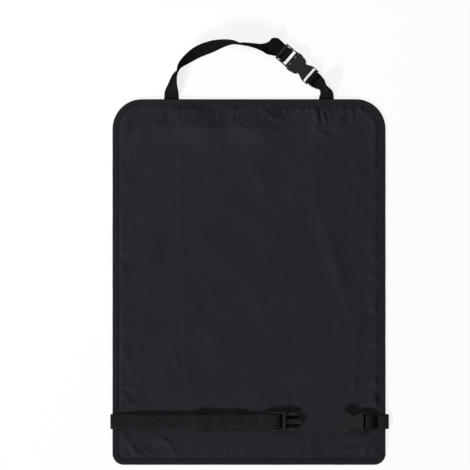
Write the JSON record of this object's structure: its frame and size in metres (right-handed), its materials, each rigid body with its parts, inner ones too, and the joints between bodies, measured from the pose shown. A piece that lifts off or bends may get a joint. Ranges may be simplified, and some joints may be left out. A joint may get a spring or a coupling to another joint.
{
  "type": "seat back kick mat",
  "caption": "Rectangular fabric mat with a bound edge that shields the back of a car seat, with a buckled webbing strap above it and one across its foot.",
  "frame": {"origin": "the middle of the mat's back face, halfway across and halfway up the fabric panel", "axes": "+X across the mat to the right as its face is seen, +Y up the mat towards the headrest strap, +Z out of the mat's face"},
  "size_m": [0.4692, 0.7193, 0.025],
  "materials": {
    "cloth": "black coated oxford weave, faintly sheeny",
    "binding": "black matt ribbed tape",
    "webbing": "black woven webbing",
    "moulding": "black satin moulded plastic"
  },
  "bodies": {
    "root": {"mat_panel": "cloth", "edge_binding": "binding", "top_strap_long": "webbing", "top_strap_short": "webbing", "top_buckle_male": "moulding", "top_buckle_female": "moulding", "bottom_strap_long": "webbing", "bottom_strap_short": "webbing", "bottom_buckle_male": "moulding", "bottom_buckle_female": "moulding"}
  },
  "joints": []
}
